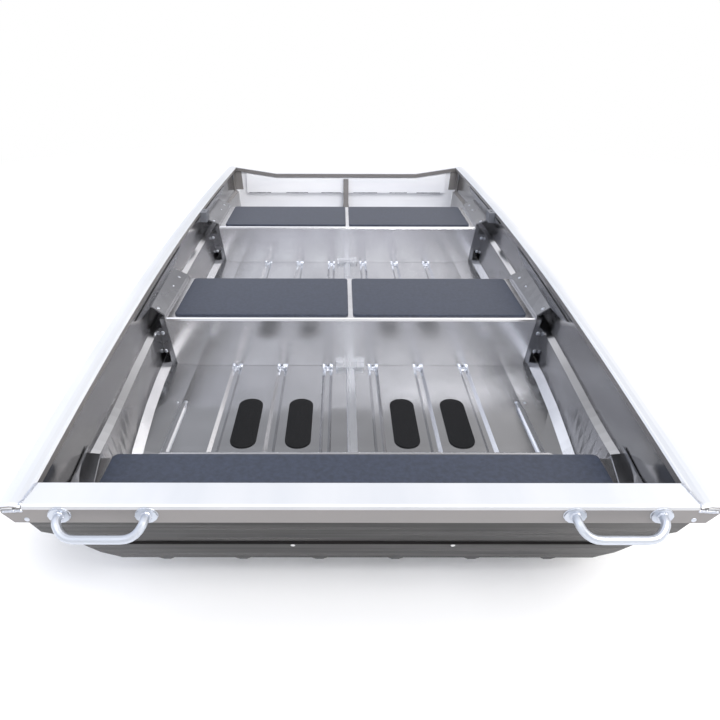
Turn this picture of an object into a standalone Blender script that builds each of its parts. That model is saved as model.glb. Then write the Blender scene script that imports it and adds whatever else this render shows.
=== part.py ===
# A small square-bowed punt pressed and folded from aluminium sheet.
# Metres, +Z up. The bow looks along -Y, port is +X, and the boat stands on its pressed floor ribs.
# A station is a distance aft of the bow cap's front edge.
import math

import bmesh
import bpy
from mathutils import Vector

MM = 0.001

# Driving dimensions of the hull
LENGTH = 3.100
FLOOR_TO_SHEER = 0.288
BOW_LIFT = 0.036
RIB_SPACING = 0.160
RIBS = 6
CHINE_HALF = 0.545
BOW_CHINE_HALF = 0.467
LEDGE_HALF = 0.656
BOW_LEDGE_HALF = 0.500
RIM_HALF = 0.694
BOW_RIM_HALF = 0.593
STERN_RIM_HALF = 0.676
WIDEST_STATION = 2.160
BOW_RISE = 0.139
RISE_RUN = 0.620
LEDGE_RUN = 1.200

# Sheet metal and fits
SKIN = 3.0 * MM
SEAM = 0.3 * MM
CURVE_CLEARANCE = 1.0 * MM
OVERRUN = 20 * MM

# Hull section
RIB_WIDTH = 34 * MM
RIB_CREST = 14 * MM
RIB_DEPTH = 9 * MM
BILGE_RISE = 10 * MM
LOWER_LEDGE_RISE = 30 * MM
LOWER_LEDGE_WIDTH = 24 * MM
UPPER_LEDGE_RISE = 160 * MM
UPPER_LEDGE_DROP = 9 * MM
UPPER_LEDGE_WIDTH = 19 * MM
UPPER_LEDGE_OUTSET = 8 * MM
SHEER_OUTSET = 20 * MM
BOW_RAKE = math.radians(26)
TRANSOM_RAKE = math.radians(9)

# Gunwales and bow cap
CAP_WIDTH = 50 * MM
CAP_WALL = 3.0 * MM
CAP_CROWN = 3.5 * MM
CAP_OUTER_LEG = 30 * MM
CAP_INNER_LEG = 18 * MM
CAP_RADIUS = 7 * MM
BOW_CAP_DEPTH = 68 * MM
BOW_CAP_LIP = 37 * MM
BOW_SEAM_OUTSET = 6 * MM
NOSE_RADIUS = 15 * MM
NOSE_DROOP = 3.5 * MM
NOSE_TAPER = 26 * MM
BOW_JOG = 4 * MM
BOW_FOLD_RISE = 167 * MM

# Transom
NOTCH_HALF = 0.430
NOTCH_DEPTH = 36 * MM
TRANSOM_CAP_WIDTH = 24 * MM
TRANSOM_CAP_LEG = 16 * MM
BOARD_HALF = 0.612
BOARD_HEIGHT = 84 * MM
BOARD_THICKNESS = 26 * MM
BOARD_DROP = 5 * MM
PAD_HALF = 0.165
PAD_HEIGHT = 0.190
PAD_THICKNESS = 8 * MM
BRACE_WIDTH = 30 * MM
BRACE_FOOT_WIDTH = 62 * MM
BRACE_DEPTH = 18 * MM

# Seats
SEAT_RISE = 0.183
SEAT_SHEET = 3.0 * MM
SEAT_FOLD = 9 * MM
SEAT_DEPTH = 0.388
SEAT_HALF = 0.637
SEAT_END_ROOM = 16 * MM
SEAT_FOOT_INSET = 24 * MM
FRONT_SEAT_DEPTH = 0.274
FRONT_SEAT_HALF = 0.599
FRONT_SEAT_TONGUE = 22 * MM
FRONT_SEAT_TONGUE_HALF = 0.412
FRONT_SEAT_TONGUE_TAPER = 32 * MM
FRONT_SEAT_LIP = 26 * MM
FRONT_SEAT_FOOT_INSET = 60 * MM
MIDDLE_SEAT_SHARE = 0.3548
REAR_SEAT_SHARE = 0.7048
SEAT_PAD_THICKNESS = 6 * MM
SEAT_PAD_CORNER = 14 * MM
SEAT_PAD_MARGIN = 22 * MM
SEAT_PAD_END = 28 * MM
SEAT_PAD_GAP = 16 * MM

# Brackets that carry the seat ends on the hull sides
BRACKET_SHEET = 2.5 * MM
BRACKET_FLANGE = 15 * MM
BRACKET_FOOT_RISE = 34 * MM
BRACKET_UPSTAND = 10 * MM
BRACKET_LEAN = 29 * MM
BRACKET_EAR = 32 * MM
BRACKET_REACH = 180 * MM
FRONT_BRACKET_UPSTAND = 3 * MM
FRONT_BRACKET_LEAN = 4 * MM
FRONT_BRACKET_EAR = 10 * MM
FRONT_BRACKET_REACH = 16 * MM
EAR_ROUND_SHARE = 0.7

# Floor fittings
PAD_LENGTH = 0.262
PAD_WIDTH = 76 * MM
FLOOR_PAD_THICKNESS = 3 * MM
PAD_STATION = 0.742
KEELSON_WIDTH = 26 * MM
KEELSON_HEIGHT = 10 * MM
KEELSON_FOOT = 4 * MM
TEE_LENGTH = 100 * MM
TEE_WIDTH = 34 * MM
TEE_HEIGHT = 12 * MM
TEE_CORNER = 9 * MM
JOINER_WIDTH = 22 * MM
JOINER_HEIGHT = 9 * MM
JOINER_END_STATION = 0.850

# Fittings on the rim
HANDLE_TUBE = 8.0 * MM
HANDLE_SPAN = 0.154
HANDLE_REACH = 40 * MM
HANDLE_DROP = 20 * MM
HANDLE_NARROWING = 12 * MM
HANDLE_CENTRE = 0.456
HANDLE_BASE_HALF = 20 * MM
HANDLE_BASE_HEIGHT = 31 * MM
HANDLE_BASE_THICKNESS = 4 * MM
HANDLE_STUB = 14 * MM
HANDLE_CORNER = 26 * MM
ROWLOCK_STATION = 2.080
ROWLOCK_LENGTH = 66 * MM
ROWLOCK_WIDTH = 30 * MM
ROWLOCK_HEIGHT = 46 * MM
ROWLOCK_BORE = 6.5 * MM
ROWLOCK_EDGE = 3 * MM
CORNER_ARM = 46 * MM
CORNER_THICKNESS = 3 * MM

# Resolution
BOW_STEPS = 14
AFT_STEPS = 14
RIM_STEPS = 20
ROUND_STEPS = 12
SOLVER_STEPS = 12

PORT = 1
STARBOARD = -1
FLOOR_RISE = RIB_DEPTH + SKIN
BOW_OVERHANG = HANDLE_REACH + HANDLE_TUBE + SEAM
MIDDLE_STATION = (LENGTH - BOW_OVERHANG) / 2


def clear_scene():
    for item in list(bpy.data.objects):
        bpy.data.objects.remove(item, do_unlink=True)


def paint(name, colour, roughness, metallic):
    material = bpy.data.materials.new(name)
    material.use_nodes = True
    shader = material.node_tree.nodes["Principled BSDF"]
    shader.inputs["Base Color"].default_value = (*colour, 1.0)
    shader.inputs["Roughness"].default_value = roughness
    shader.inputs["Metallic"].default_value = metallic
    material.diffuse_color = (*colour, 1.0)
    return material


def place(name, mesh, material, smooth_angle=math.radians(30)):
    """Put a mesh whose points are (x, station, rise above the floor) into the boat's frame."""
    for vertex in mesh.vertices:
        vertex.co.y -= MIDDLE_STATION
        vertex.co.z += FLOOR_RISE
    mesh.materials.append(material)
    mesh.shade_smooth()
    mesh.set_sharp_from_angle(angle=smooth_angle)
    piece = bpy.data.objects.new(name, mesh)
    bpy.context.collection.objects.link(piece)
    return piece


def mesh_from(name, build):
    """Run a bmesh builder and return its mesh with outward normals."""
    shape = bmesh.new()
    build(shape)
    bmesh.ops.remove_doubles(shape, verts=shape.verts, dist=MM / 100)
    bmesh.ops.recalc_face_normals(shape, faces=shape.faces)
    mesh = bpy.data.meshes.new(name)
    shape.to_mesh(mesh)
    shape.free()
    return mesh


def loft(shape, loops, folded=False):
    """Skin closed loops of equal length and cap both ends, as a strip where the section is a folded sheet."""
    rings = [[shape.verts.new(point) for point in loop] for loop in loops]
    count = len(rings[0])
    for ring, after in zip(rings, rings[1:]):
        for index in range(count):
            step = (index + 1) % count
            shape.faces.new((ring[index], ring[step], after[step], after[index]))
    for ring in (rings[0], rings[-1]):
        if folded:
            for index in range(count // 2 - 1):
                shape.faces.new((ring[index], ring[index + 1], ring[-index - 2], ring[-index - 1]))
        else:
            shape.faces.new(ring)


def shell(shape, rows, thickness):
    """Give a grid of points a wall that grows away from the boat's middle, or towards it when negative."""
    near = [[Vector(point) for point in row] for row in rows]
    normals = grid_normals(near)
    core = Vector((0.0, LENGTH / 2, sheer_rise(LENGTH)))
    pairs = [pair for row, line in zip(near, normals) for pair in zip(row, line)]
    outward = sum((point - core).dot(normal) for point, normal in pairs)
    offset = math.copysign(thickness, thickness * outward)
    far = [[point + normal * offset for point, normal in zip(row, line)] for row, line in zip(near, normals)]
    front = [[shape.verts.new(point) for point in row] for row in near]
    back = [[shape.verts.new(point) for point in row] for row in far]
    high, wide = len(front), len(front[0])
    for i in range(high - 1):
        for j in range(wide - 1):
            shape.faces.new((front[i][j], front[i][j + 1], front[i + 1][j + 1], front[i + 1][j]))
            shape.faces.new((back[i][j], back[i + 1][j], back[i + 1][j + 1], back[i][j + 1]))
    rim = [(0, j) for j in range(wide)] + [(i, wide - 1) for i in range(1, high)]
    rim += [(high - 1, j) for j in range(wide - 2, -1, -1)] + [(i, 0) for i in range(high - 2, 0, -1)]
    for (i, j), (k, m) in zip(rim, rim[1:] + rim[:1]):
        shape.faces.new((front[i][j], back[i][j], back[k][m], front[k][m]))


def grid_normals(points):
    """Offset directions that keep the wall even across the folds of a section."""
    high, wide = len(points), len(points[0])
    normals = []
    for i in range(high):
        line = []
        for j in range(wide):
            along = points[min(i + 1, high - 1)][j] - points[max(i - 1, 0)][j]
            sides = []
            for first, second in ((j - 1, j), (j, j + 1)):
                if first >= 0 and second < wide:
                    across = points[i][second] - points[i][first]
                    sides.append(along.cross(across).normalized())
            mean = sum(sides, Vector()).normalized()
            line.append(mean / max(mean.dot(sides[0]), 0.5))
        normals.append(line)
    return normals


def arc(centre, radius, start, end, steps):
    """Points of an arc in a plane, angles in degrees."""
    points = []
    for step in range(steps + 1):
        angle = math.radians(start + (end - start) * step / steps)
        points.append((centre[0] + radius * math.cos(angle), centre[1] + radius * math.sin(angle)))
    return points


def rounded_rectangle(left, right, front, rear, radius):
    return rounded_polygon([(left, front), (right, front), (right, rear), (left, rear)], radius)


def slab(shape, outline, low, high):
    loft(shape, [[(x, y, z) for x, y in outline] for z in (low, high)])


def cut(piece, cutter):
    """Take a cutter out of a piece."""
    cutter.hide_render = True
    cutter.display_type = "WIRE"
    modifier = piece.modifiers.new("Cut", "BOOLEAN")
    modifier.operation = "DIFFERENCE"
    modifier.solver = "EXACT"
    modifier.object = cutter


# Lines of the hull, as functions of the station

def fore(station, run):
    return (max(run - station, 0.0) / run) ** 2


def rim_half(station):
    """Half width between the gunwales' inner edges."""
    if station < WIDEST_STATION:
        return RIM_HALF - (RIM_HALF - BOW_RIM_HALF) * fore(station, WIDEST_STATION)
    back = (station - WIDEST_STATION) / (LENGTH - WIDEST_STATION)
    return RIM_HALF - (RIM_HALF - STERN_RIM_HALF) * back ** 2


def sheer_rise(station):
    return FLOOR_TO_SHEER + BOW_LIFT * (1 - station / LENGTH) ** 2


def floor_rise(station):
    return BOW_RISE * fore(station, RISE_RUN)


def chine_half(station):
    return CHINE_HALF - (CHINE_HALF - BOW_CHINE_HALF) * fore(station, RISE_RUN)


def ledge_half(station):
    return LEDGE_HALF - (LEDGE_HALF - BOW_LEDGE_HALF) * fore(station, LEDGE_RUN)


def side_points(station):
    """Inner face of the hull side at a station, from the chine ledge up to the sheer."""
    lift = floor_rise(station)
    upper = rim_half(station) + UPPER_LEDGE_OUTSET
    return [
        (ledge_half(station), lift + LOWER_LEDGE_RISE),
        (upper - UPPER_LEDGE_WIDTH, lift / 2 + UPPER_LEDGE_RISE - UPPER_LEDGE_DROP),
        (upper, lift / 2 + UPPER_LEDGE_RISE),
        (rim_half(station) + SHEER_OUTSET, sheer_rise(station)),
    ]


def side_half(station, rise):
    """Half width of the hull's inner face at a height."""
    points = side_points(station)
    for (x, z), (next_x, next_z) in zip(points, points[1:]):
        if rise <= next_z:
            return x + (next_x - x) * (rise - z) / (next_z - z)
    return points[-1][0]


def floor_points(station):
    """Inner face of the floor from port ledge to starboard ledge, with its pressed ribs."""
    lift = floor_rise(station)
    edge = ledge_half(station)
    half = [(0.0, lift)]
    for index in range(RIBS // 2):
        centre = (index + 0.5) * RIB_SPACING
        edges = ((-RIB_WIDTH, 0.0), (-RIB_CREST, RIB_DEPTH), (RIB_CREST, RIB_DEPTH), (RIB_WIDTH, 0.0))
        half += [(centre + side / 2, lift - drop) for side, drop in edges]
    half.append((chine_half(station), lift))
    half.append((edge - LOWER_LEDGE_WIDTH, lift + BILGE_RISE))
    half.append((edge, lift + LOWER_LEDGE_RISE))
    mirrored = [(-x, z) for x, z in half[:0:-1]]
    return mirrored + half


def bow_plate_top():
    """Rise of the bow plate's top edge, just under the round of the bow cap."""
    return sheer_rise(0.0) - CAP_RADIUS + CAP_WALL + SEAM


def bow_station(rise):
    """Station of the bow plate's inner face at a height: raked, and set forward below its fold."""
    jog = min(max(BOW_FOLD_RISE - rise, 0.0), BOW_JOG)
    return CAP_WALL + SKIN + 2 * SEAM + (bow_plate_top() - rise) * math.tan(BOW_RAKE) - jog


def stern_station(rise):
    """Station of the transom's inner face at a height."""
    top = sheer_rise(LENGTH)
    return LENGTH - CAP_WALL - SKIN - 2 * SEAM - (top - rise) * math.tan(TRANSOM_RAKE)


def line_stations(points_at, index):
    """Stations of one fore-and-aft line between the bow plate and the transom, closer at the bow."""
    first = 0.0
    for _ in range(SOLVER_STEPS):
        first = bow_station(points_at(first)[index][1]) + SKIN
    last = stern_station(points_at(LENGTH)[index][1]) - SEAM
    bow = [first + (RISE_RUN - first) * step / BOW_STEPS for step in range(BOW_STEPS)]
    return bow + [RISE_RUN + (last - RISE_RUN) * step / AFT_STEPS for step in range(AFT_STEPS + 1)]


def hull_rows(points_at):
    """Grid of a hull panel: a row for each station, a column for each line of the section."""
    columns = []
    for index in range(len(points_at(LENGTH))):
        stations = line_stations(points_at, index)
        columns.append([(points_at(s)[index][0], s, points_at(s)[index][1]) for s in stations])
    return [list(row) for row in zip(*columns)]


def bottom_skin(sheet):
    rows = hull_rows(floor_points)
    mesh = mesh_from("bottom_skin", lambda shape: shell(shape, rows, SKIN))
    return place("bottom_skin", mesh, sheet)


def side_skin(name, side, sheet):
    def points_at(station):
        points = side_points(station)
        foot_x, foot_z = points[0]
        return [(side * foot_x, foot_z + SEAM)] + [(side * x, z) for x, z in points[1:]]
    rows = hull_rows(points_at)
    mesh = mesh_from(name, lambda shape: shell(shape, rows, SKIN))
    return place(name, mesh, sheet)


def bow_plate(sheet):
    """Raked plate with a fold across it, its foot scalloped round the floor's ribs."""
    ledge = UPPER_LEDGE_RISE
    foot = BOW_RISE
    for _ in range(SOLVER_STEPS):
        ledge = floor_rise(bow_station(ledge)) / 2 + UPPER_LEDGE_RISE
        foot = floor_rise(bow_station(foot))
    section = floor_points(bow_station(foot))
    edge = section[-1][0]
    rows = [[(x, bow_station(z - SKIN) - SEAM, z - SKIN) for x, z in section]]
    for rise in (BOW_FOLD_RISE - BOW_JOG, BOW_FOLD_RISE, ledge - UPPER_LEDGE_DROP, ledge, bow_plate_top()):
        station = bow_station(rise)
        half = side_half(station, rise) + SKIN
        rows.append([(x / edge * half, station - SEAM, rise) for x, _ in section])
    mesh = mesh_from("bow_plate", lambda shape: shell(shape, rows, SKIN))
    return place("bow_plate", mesh, sheet)


def cap_profile():
    """Gunwale channel section as (outboard, up) from the inner top corner of the side skin."""
    outer, wall = CAP_WIDTH, CAP_WALL
    shoulder = (CAP_RADIUS + outer / 2) / 2
    shoulder_share = 0.75
    dome = [(shoulder, CAP_CROWN * shoulder_share), (outer / 2, CAP_CROWN)]
    dome += [(outer - shoulder, CAP_CROWN * shoulder_share)]
    inside = (CAP_RADIUS + wall) / 2
    skin = [(0.0, -CAP_INNER_LEG), (0.0, -CAP_RADIUS / 2), (CAP_RADIUS / 2, 0.0), (CAP_RADIUS, 0.0)] + dome
    skin += [(outer - CAP_RADIUS, 0.0), (outer - CAP_RADIUS / 3, -CAP_RADIUS / 3)]
    skin += [(outer, -CAP_RADIUS), (outer, -CAP_OUTER_LEG)]
    back = [(outer - wall, -CAP_OUTER_LEG), (outer - wall, -CAP_RADIUS), (outer - inside, -inside)]
    back += [(outer - CAP_RADIUS, -wall)] + [(across, up - wall) for across, up in dome[::-1]]
    back += [(CAP_RADIUS, -wall), (inside, -wall), (wall, -inside), (wall, -CAP_INNER_LEG)]
    return skin + back


def nose_station(outboard):
    """Where the gunwale's front outline lies: along its seam with the bow cap, then round its nose."""
    if outboard < BOW_SEAM_OUTSET:
        return BOW_CAP_DEPTH * (1 - outboard / BOW_SEAM_OUTSET)
    inset = max(outboard - (CAP_WIDTH - NOSE_RADIUS), 0.0)
    return NOSE_RADIUS - math.sqrt(NOSE_RADIUS ** 2 - inset ** 2)


def nose_height(outboard, up, run):
    """Height of a point of the channel, drooping at the nose and with its outer leg cut away there."""
    if outboard < CAP_RADIUS:
        return up
    leg = CAP_RADIUS + CAP_WALL + (CAP_OUTER_LEG - CAP_RADIUS - CAP_WALL) * min(run / NOSE_TAPER, 1.0)
    return max(up, -leg) - NOSE_DROOP * max(1 - run / CAP_RADIUS, 0.0) ** 2


def gunwale(name, side, metal):
    """Domed channel along the rim, from its rounded nose beside the bow cap to the transom."""
    runs = [0.0, CAP_RADIUS / 3, CAP_RADIUS]
    runs += [NOSE_TAPER + (LENGTH - NOSE_TAPER) * (step / RIM_STEPS) ** 1.3 for step in range(RIM_STEPS + 1)]
    loops = []
    for run in runs:
        loop = []
        for outboard, up in cap_profile():
            first = nose_station(outboard) + SEAM
            station = first + run * (LENGTH - first) / LENGTH
            top = sheer_rise(station) + CAP_WALL + SEAM
            across = side * (rim_half(station) + outboard)
            loop.append((across, station, top + nose_height(outboard, up, run)))
        loops.append(loop)
    mesh = mesh_from(name, lambda shape: loft(shape, loops, folded=True))
    return place(name, mesh, metal)


def bow_cap(metal):
    """Folded channel over the bow plate, butted to both gunwales, its lip closing their open ends."""
    wall = CAP_WALL
    top = sheer_rise(0.0) + CAP_WALL + SEAM
    depth = BOW_CAP_DEPTH
    lip_end = SHEER_OUTSET + SKIN
    ear_end = CAP_WIDTH - NOSE_RADIUS / 2
    ear_top = CAP_RADIUS + 2 * SEAM
    lip = [(-BOW_CAP_LIP, lip_end), (-(ear_top + CAP_RADIUS), ear_end), (-ear_top, ear_end)]

    def seam(station):
        return BOW_SEAM_OUTSET * (1 - station / depth) - SEAM

    profile = [(0.0, up, end) for up, end in lip] + [(0.0, SEAM - ear_top, seam(0.0))]
    folds = [(CAP_RADIUS / 3, -CAP_RADIUS / 3), (CAP_RADIUS, 0.0), (depth - CAP_RADIUS / 2, 0.0)]
    inside = (CAP_RADIUS + wall) / 2
    folds += [(depth, -CAP_RADIUS / 2), (depth, -CAP_INNER_LEG), (depth - wall, -CAP_INNER_LEG)]
    folds += [(depth - wall, -inside), (depth - inside, -wall), (CAP_RADIUS, -wall)]
    folds += [(inside, -inside), (wall, SEAM - ear_top)]
    profile += [(station, up, seam(station)) for station, up in folds]
    profile += [(wall, up, end) for up, end in lip[::-1]]
    loops = []
    for share in (-1.0, 0.0, 1.0):
        loops.append([(share * (rim_half(station) + end), station, top + up) for station, up, end in profile])
    mesh = mesh_from("bow_cap", lambda shape: loft(shape, loops, folded=True))
    return place("bow_cap", mesh, metal)


def notch_rise():
    return sheer_rise(LENGTH) - NOTCH_DEPTH


def transom_outline():
    """Transom face from its foot, scalloped round the ribs, up the port side and over the notch."""
    sheer = sheer_rise(LENGTH)
    under_cap = sheer - CAP_INNER_LEG
    rim = rim_half(LENGTH) - SEAM
    foot = [(x, z - SKIN) for x, z in floor_points(LENGTH)]
    port = [(x, z) for x, z in side_points(LENGTH)[:-1]]
    port += [(side_half(LENGTH, under_cap), under_cap), (rim, under_cap), (rim, sheer)]
    port += [(NOTCH_HALF, notch_rise())]
    return foot + port + [(-x, z) for x, z in port[::-1]]


def transom_plate(sheet):
    raked_plate("transom_plate", transom_outline(), SEAM, SEAM + SKIN, sheet)


def transom_cap(metal):
    """Folded channel along the transom's top edge, which slopes from the gunwales down to the notch."""
    port = [(rim_half(LENGTH) - SEAM, sheer_rise(LENGTH)), (NOTCH_HALF, notch_rise())]
    path = port + [(-x, z) for x, z in port[::-1]]
    wall = CAP_WALL
    loops = []
    for x, z in path:
        outer = stern_station(z) + SKIN + 2 * SEAM + wall
        inner = outer - TRANSOM_CAP_WIDTH
        skin = [(inner, -TRANSOM_CAP_LEG), (inner, wall), (outer, wall), (outer, -TRANSOM_CAP_LEG)]
        back = [(outer - wall, -TRANSOM_CAP_LEG), (outer - wall, 0.0), (inner + wall, 0.0)]
        back += [(inner + wall, -TRANSOM_CAP_LEG)]
        loops.append([(x, station, z + SEAM + up) for station, up in skin + back])
    mesh = mesh_from("transom_cap", lambda shape: loft(shape, loops, folded=True))
    return place("transom_cap", mesh, metal)


def raked_plate(name, outline, near, far, material):
    """Plate that leans with the transom: near and far are offsets aft of its inner face."""
    loops = [[(x, stern_station(z) + offset, z) for x, z in outline] for offset in (near, far)]
    mesh = mesh_from(name, lambda shape: loft(shape, loops))
    return place(name, mesh, material)


def board_top():
    return notch_rise() - TRANSOM_CAP_LEG - BOARD_DROP


def transom_fittings(sheet, metal):
    """Board that carries an outboard motor, its pad outside, and the brace down the middle."""
    top = board_top()
    low = top - BOARD_HEIGHT
    slope = NOTCH_DEPTH / (rim_half(LENGTH) - NOTCH_HALF)
    shoulder = top + (BOARD_HALF - NOTCH_HALF) * slope
    board = [(BOARD_HALF, low), (BOARD_HALF, shoulder), (NOTCH_HALF, top)]
    raked_plate("motor_board", board + [(-x, z) for x, z in board[::-1]], -BOARD_THICKNESS, 0.0, sheet)
    pad = [(PAD_HALF, top - PAD_HEIGHT), (PAD_HALF, top)]
    outside = SKIN + 2 * SEAM
    raked_plate("motor_pad", pad + [(-x, z) for x, z in pad[::-1]], outside, outside + PAD_THICKNESS, metal)
    front = -BOARD_THICKNESS - SEAM
    loops = []
    for rise, width, back in ((SEAM, BRACE_FOOT_WIDTH, 0.0), (low - BRACE_FOOT_WIDTH, BRACE_WIDTH, 0.0),
                              (low - 2 * SEAM, BRACE_WIDTH, 0.0), (low - SEAM, BRACE_WIDTH, front),
                              (top, BRACE_WIDTH, front)):
        half = width / 2
        near = stern_station(rise) + front - BRACE_DEPTH
        far = stern_station(rise) + back
        loops.append([(-half, near, rise), (half, near, rise), (half, far, rise), (-half, far, rise)])
    mesh = mesh_from("transom_brace", lambda shape: loft(shape, loops))
    place("transom_brace", mesh, metal)


class Seat:
    """A thwart: its span fore and aft, its half width where the hull leaves room, its foot and its tongue."""

    def __init__(self, name, front, depth, half, foot_inset, front_foot=0.0, tongue=0.0):
        self.name = name
        self.front = front
        self.rear = front + depth
        rooms = [side_half(station, SEAT_RISE - UPPER_LEDGE_DROP) for station in (front, self.rear)]
        self.halves = [min(half, room - SEAT_END_ROOM) for room in rooms]
        self.foot_inset = foot_inset
        self.front_foot = front_foot
        self.tongue = tongue

    def half(self, station, rise):
        share = (station - self.front) / (self.rear - self.front)
        top = self.halves[0] + (self.halves[1] - self.halves[0]) * share
        return top - self.foot_inset * (SEAT_RISE - rise) / SEAT_RISE

    def rear_at(self, x):
        """Rear edge, set forward outside the tongue in the middle."""
        beyond = (abs(x) - FRONT_SEAT_TONGUE_HALF) / FRONT_SEAT_TONGUE_TAPER
        return self.rear - self.tongue * min(max(beyond, 0.0), 1.0)


def floor_under(x, station):
    """Rise of the floor between its ribs, or of the bilge, at a point."""
    lift = floor_rise(station)
    chine = chine_half(station)
    if abs(x) <= chine:
        return lift
    slope = BILGE_RISE / (ledge_half(station) - LOWER_LEDGE_WIDTH - chine)
    return lift + (abs(x) - chine) * slope


def seat_body(seat, sheet):
    """Sheet folded down at its front and rear edges, open at the ends, standing on the floor."""
    wall = SEAT_SHEET
    fold = SEAT_FOLD
    front = seat.front
    low = SEAT_RISE - fold
    half = seat.half(seat.rear, 0.0)
    stops = [FRONT_SEAT_TONGUE_HALF, FRONT_SEAT_TONGUE_HALF + FRONT_SEAT_TONGUE_TAPER] if seat.tongue else []
    shares = [stop / half for stop in stops] + [chine_half(seat.rear) / half, 1.0]
    loops = []
    for share in [-share for share in shares[::-1]] + shares:
        rear = seat.rear_at(share * half)
        round_off = fold / 3
        outer = [(front, None), (front, low), (front + round_off, SEAT_RISE - round_off)]
        outer += [(front + fold, SEAT_RISE), (rear - fold, SEAT_RISE)]
        outer += [(rear - round_off, SEAT_RISE - round_off), (rear, low), (rear, None)]
        bend = (fold + wall) / 2
        inner = [(rear - wall, None), (rear - wall, low), (rear - bend, SEAT_RISE - bend)]
        inner += [(rear - fold, SEAT_RISE - wall), (front + fold, SEAT_RISE - wall)]
        inner += [(front + bend, SEAT_RISE - bend), (front + wall, low), (front + wall, None)]
        loop = []
        for station, rise in outer + inner:
            if rise is None:
                aft = station > (front + rear) / 2
                foot = share * seat.half(station, floor_rise(station) + BILGE_RISE)
                gap = CURVE_CLEARANCE if floor_rise(station) else SEAM
                rise = floor_under(foot, station) + gap if aft or not seat.front_foot else seat.front_foot
            loop.append((share * seat.half(station, rise), station, rise))
        loops.append(loop)
    mesh = mesh_from(seat.name, lambda shape: loft(shape, loops, folded=True))
    return place(seat.name, mesh, sheet)


def rounded_polygon(corners, radius, steps=4):
    """Closed outline whose corners are rounded, each over the same length."""
    outline = []
    for before, corner, after in zip(corners[-1:] + corners[:-1], corners, corners[1:] + corners[:1]):
        corner = Vector(corner)
        back = (Vector(before) - corner).normalized() * radius
        ahead = (Vector(after) - corner).normalized() * radius
        for step in range(steps + 1):
            share = step / steps
            outline.append(tuple(corner + back * (1 - share) ** 2 + ahead * share ** 2))
    return outline


def seat_pads(seat, words, foam):
    """Non-slip pads on a seat, side by side with a gap between them, their outer ends along the seat's."""
    front = seat.front + SEAT_PAD_MARGIN
    rear = seat.rear - max(SEAT_PAD_MARGIN, seat.tongue)
    gap = SEAT_PAD_GAP / 2 if len(words) > 1 else 0.0
    low = SEAT_RISE + SEAM
    for index, word in enumerate(words):
        name = f"{seat.name}_pad{word}"
        corners = []
        for station, ends in ((front, (-1, 1)), (rear, (1, -1))):
            reach = seat.half(station, SEAT_RISE) - SEAT_PAD_END
            for end in ends:
                inner = len(words) > 1 and (index == 0) == (end == 1)
                corners.append((-end * gap if inner else end * reach, station))
        outline = rounded_polygon(corners, SEAT_PAD_CORNER)
        mesh = mesh_from(name, lambda shape: slab(shape, outline, low, low + SEAT_PAD_THICKNESS))
        place(name, mesh, foam)


def seat_bracket(seat, side, word, sheet):
    """Folded plate at a seat's end: a flanged web, an upstand, a lean over the ledge and an ear on the side."""
    name = f"{seat.name}_bracket_{word}"
    upstand, lean, ear, reach = BRACKET_UPSTAND, BRACKET_LEAN, BRACKET_EAR, BRACKET_REACH
    if seat.tongue:
        upstand, lean = FRONT_BRACKET_UPSTAND, FRONT_BRACKET_LEAN
        ear, reach = FRONT_BRACKET_EAR, FRONT_BRACKET_REACH
    front, rear = seat.front + BRACKET_SHEET + SEAM, seat.rear - seat.tongue
    foot = max(floor_rise(front) + BRACKET_FOOT_RISE, seat.front_foot)
    shelf = SEAT_RISE - SEAT_SHEET
    steps = 6
    inner = [front + (rear - front) * step / steps for step in range(steps + 1)]
    rows = []
    for rise, flanged in ((foot, 1.0), (shelf, 1.0), (SEAT_RISE + upstand, 0.0)):
        row = []
        for index, station in enumerate([front] + inner + [rear]):
            web = seat.half(station, foot if rise == foot else SEAT_RISE) + SEAM + BRACKET_SHEET
            room = side_half(station, rise) - CURVE_CLEARANCE - BRACKET_SHEET - web
            flange = flanged * min(BRACKET_FLANGE, room) if index in (0, steps + 2) else 0.0
            row.append((web + flange, station, rise))
        rows.append(row)
    for climb, spread in ((lean, 0.0), (lean + ear / 2, reach * EAR_ROUND_SHARE), (lean + ear, reach)):
        rise = SEAT_RISE + upstand + climb
        first = max(front - spread, bow_station(rise) + SKIN)
        stations = [first] + inner + [rear + spread]
        wall = rise - UPPER_LEDGE_DROP
        rows.append([(side_half(station, wall) - CURVE_CLEARANCE, station, rise) for station in stations])
    rows = [[(side * x, station, rise) for x, station, rise in row] for row in rows]
    mesh = mesh_from(name, lambda shape: shell(shape, rows, -BRACKET_SHEET))
    return place(name, mesh, sheet)


def stadium(centre, length, width, steps=8):
    """Obround outline with its long side fore and aft."""
    x, y = centre
    straight = (length - width) / 2
    outline = arc((x, y + straight), width / 2, 0, 180, steps)
    return outline + arc((x, y - straight), width / 2, 180, 360, steps)


def floor_pads(rubber):
    for index, bay in enumerate((-2, -1, 1, 2)):
        name = f"floor_pad_{index + 1}"
        outline = stadium((bay * RIB_SPACING, PAD_STATION), PAD_LENGTH, PAD_WIDTH)
        mesh = mesh_from(name, lambda shape: slab(shape, outline, SEAM, SEAM + FLOOR_PAD_THICKNESS))
        place(name, mesh, rubber)


def ridge(width, height, foot):
    """Section of a flanged extrusion as (across, up)."""
    crest = width / 4
    right = [(width / 2, 0.0), (width / 2, foot), (crest, foot), (crest, height)]
    return right + [(-x, z) for x, z in right[::-1]]


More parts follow.
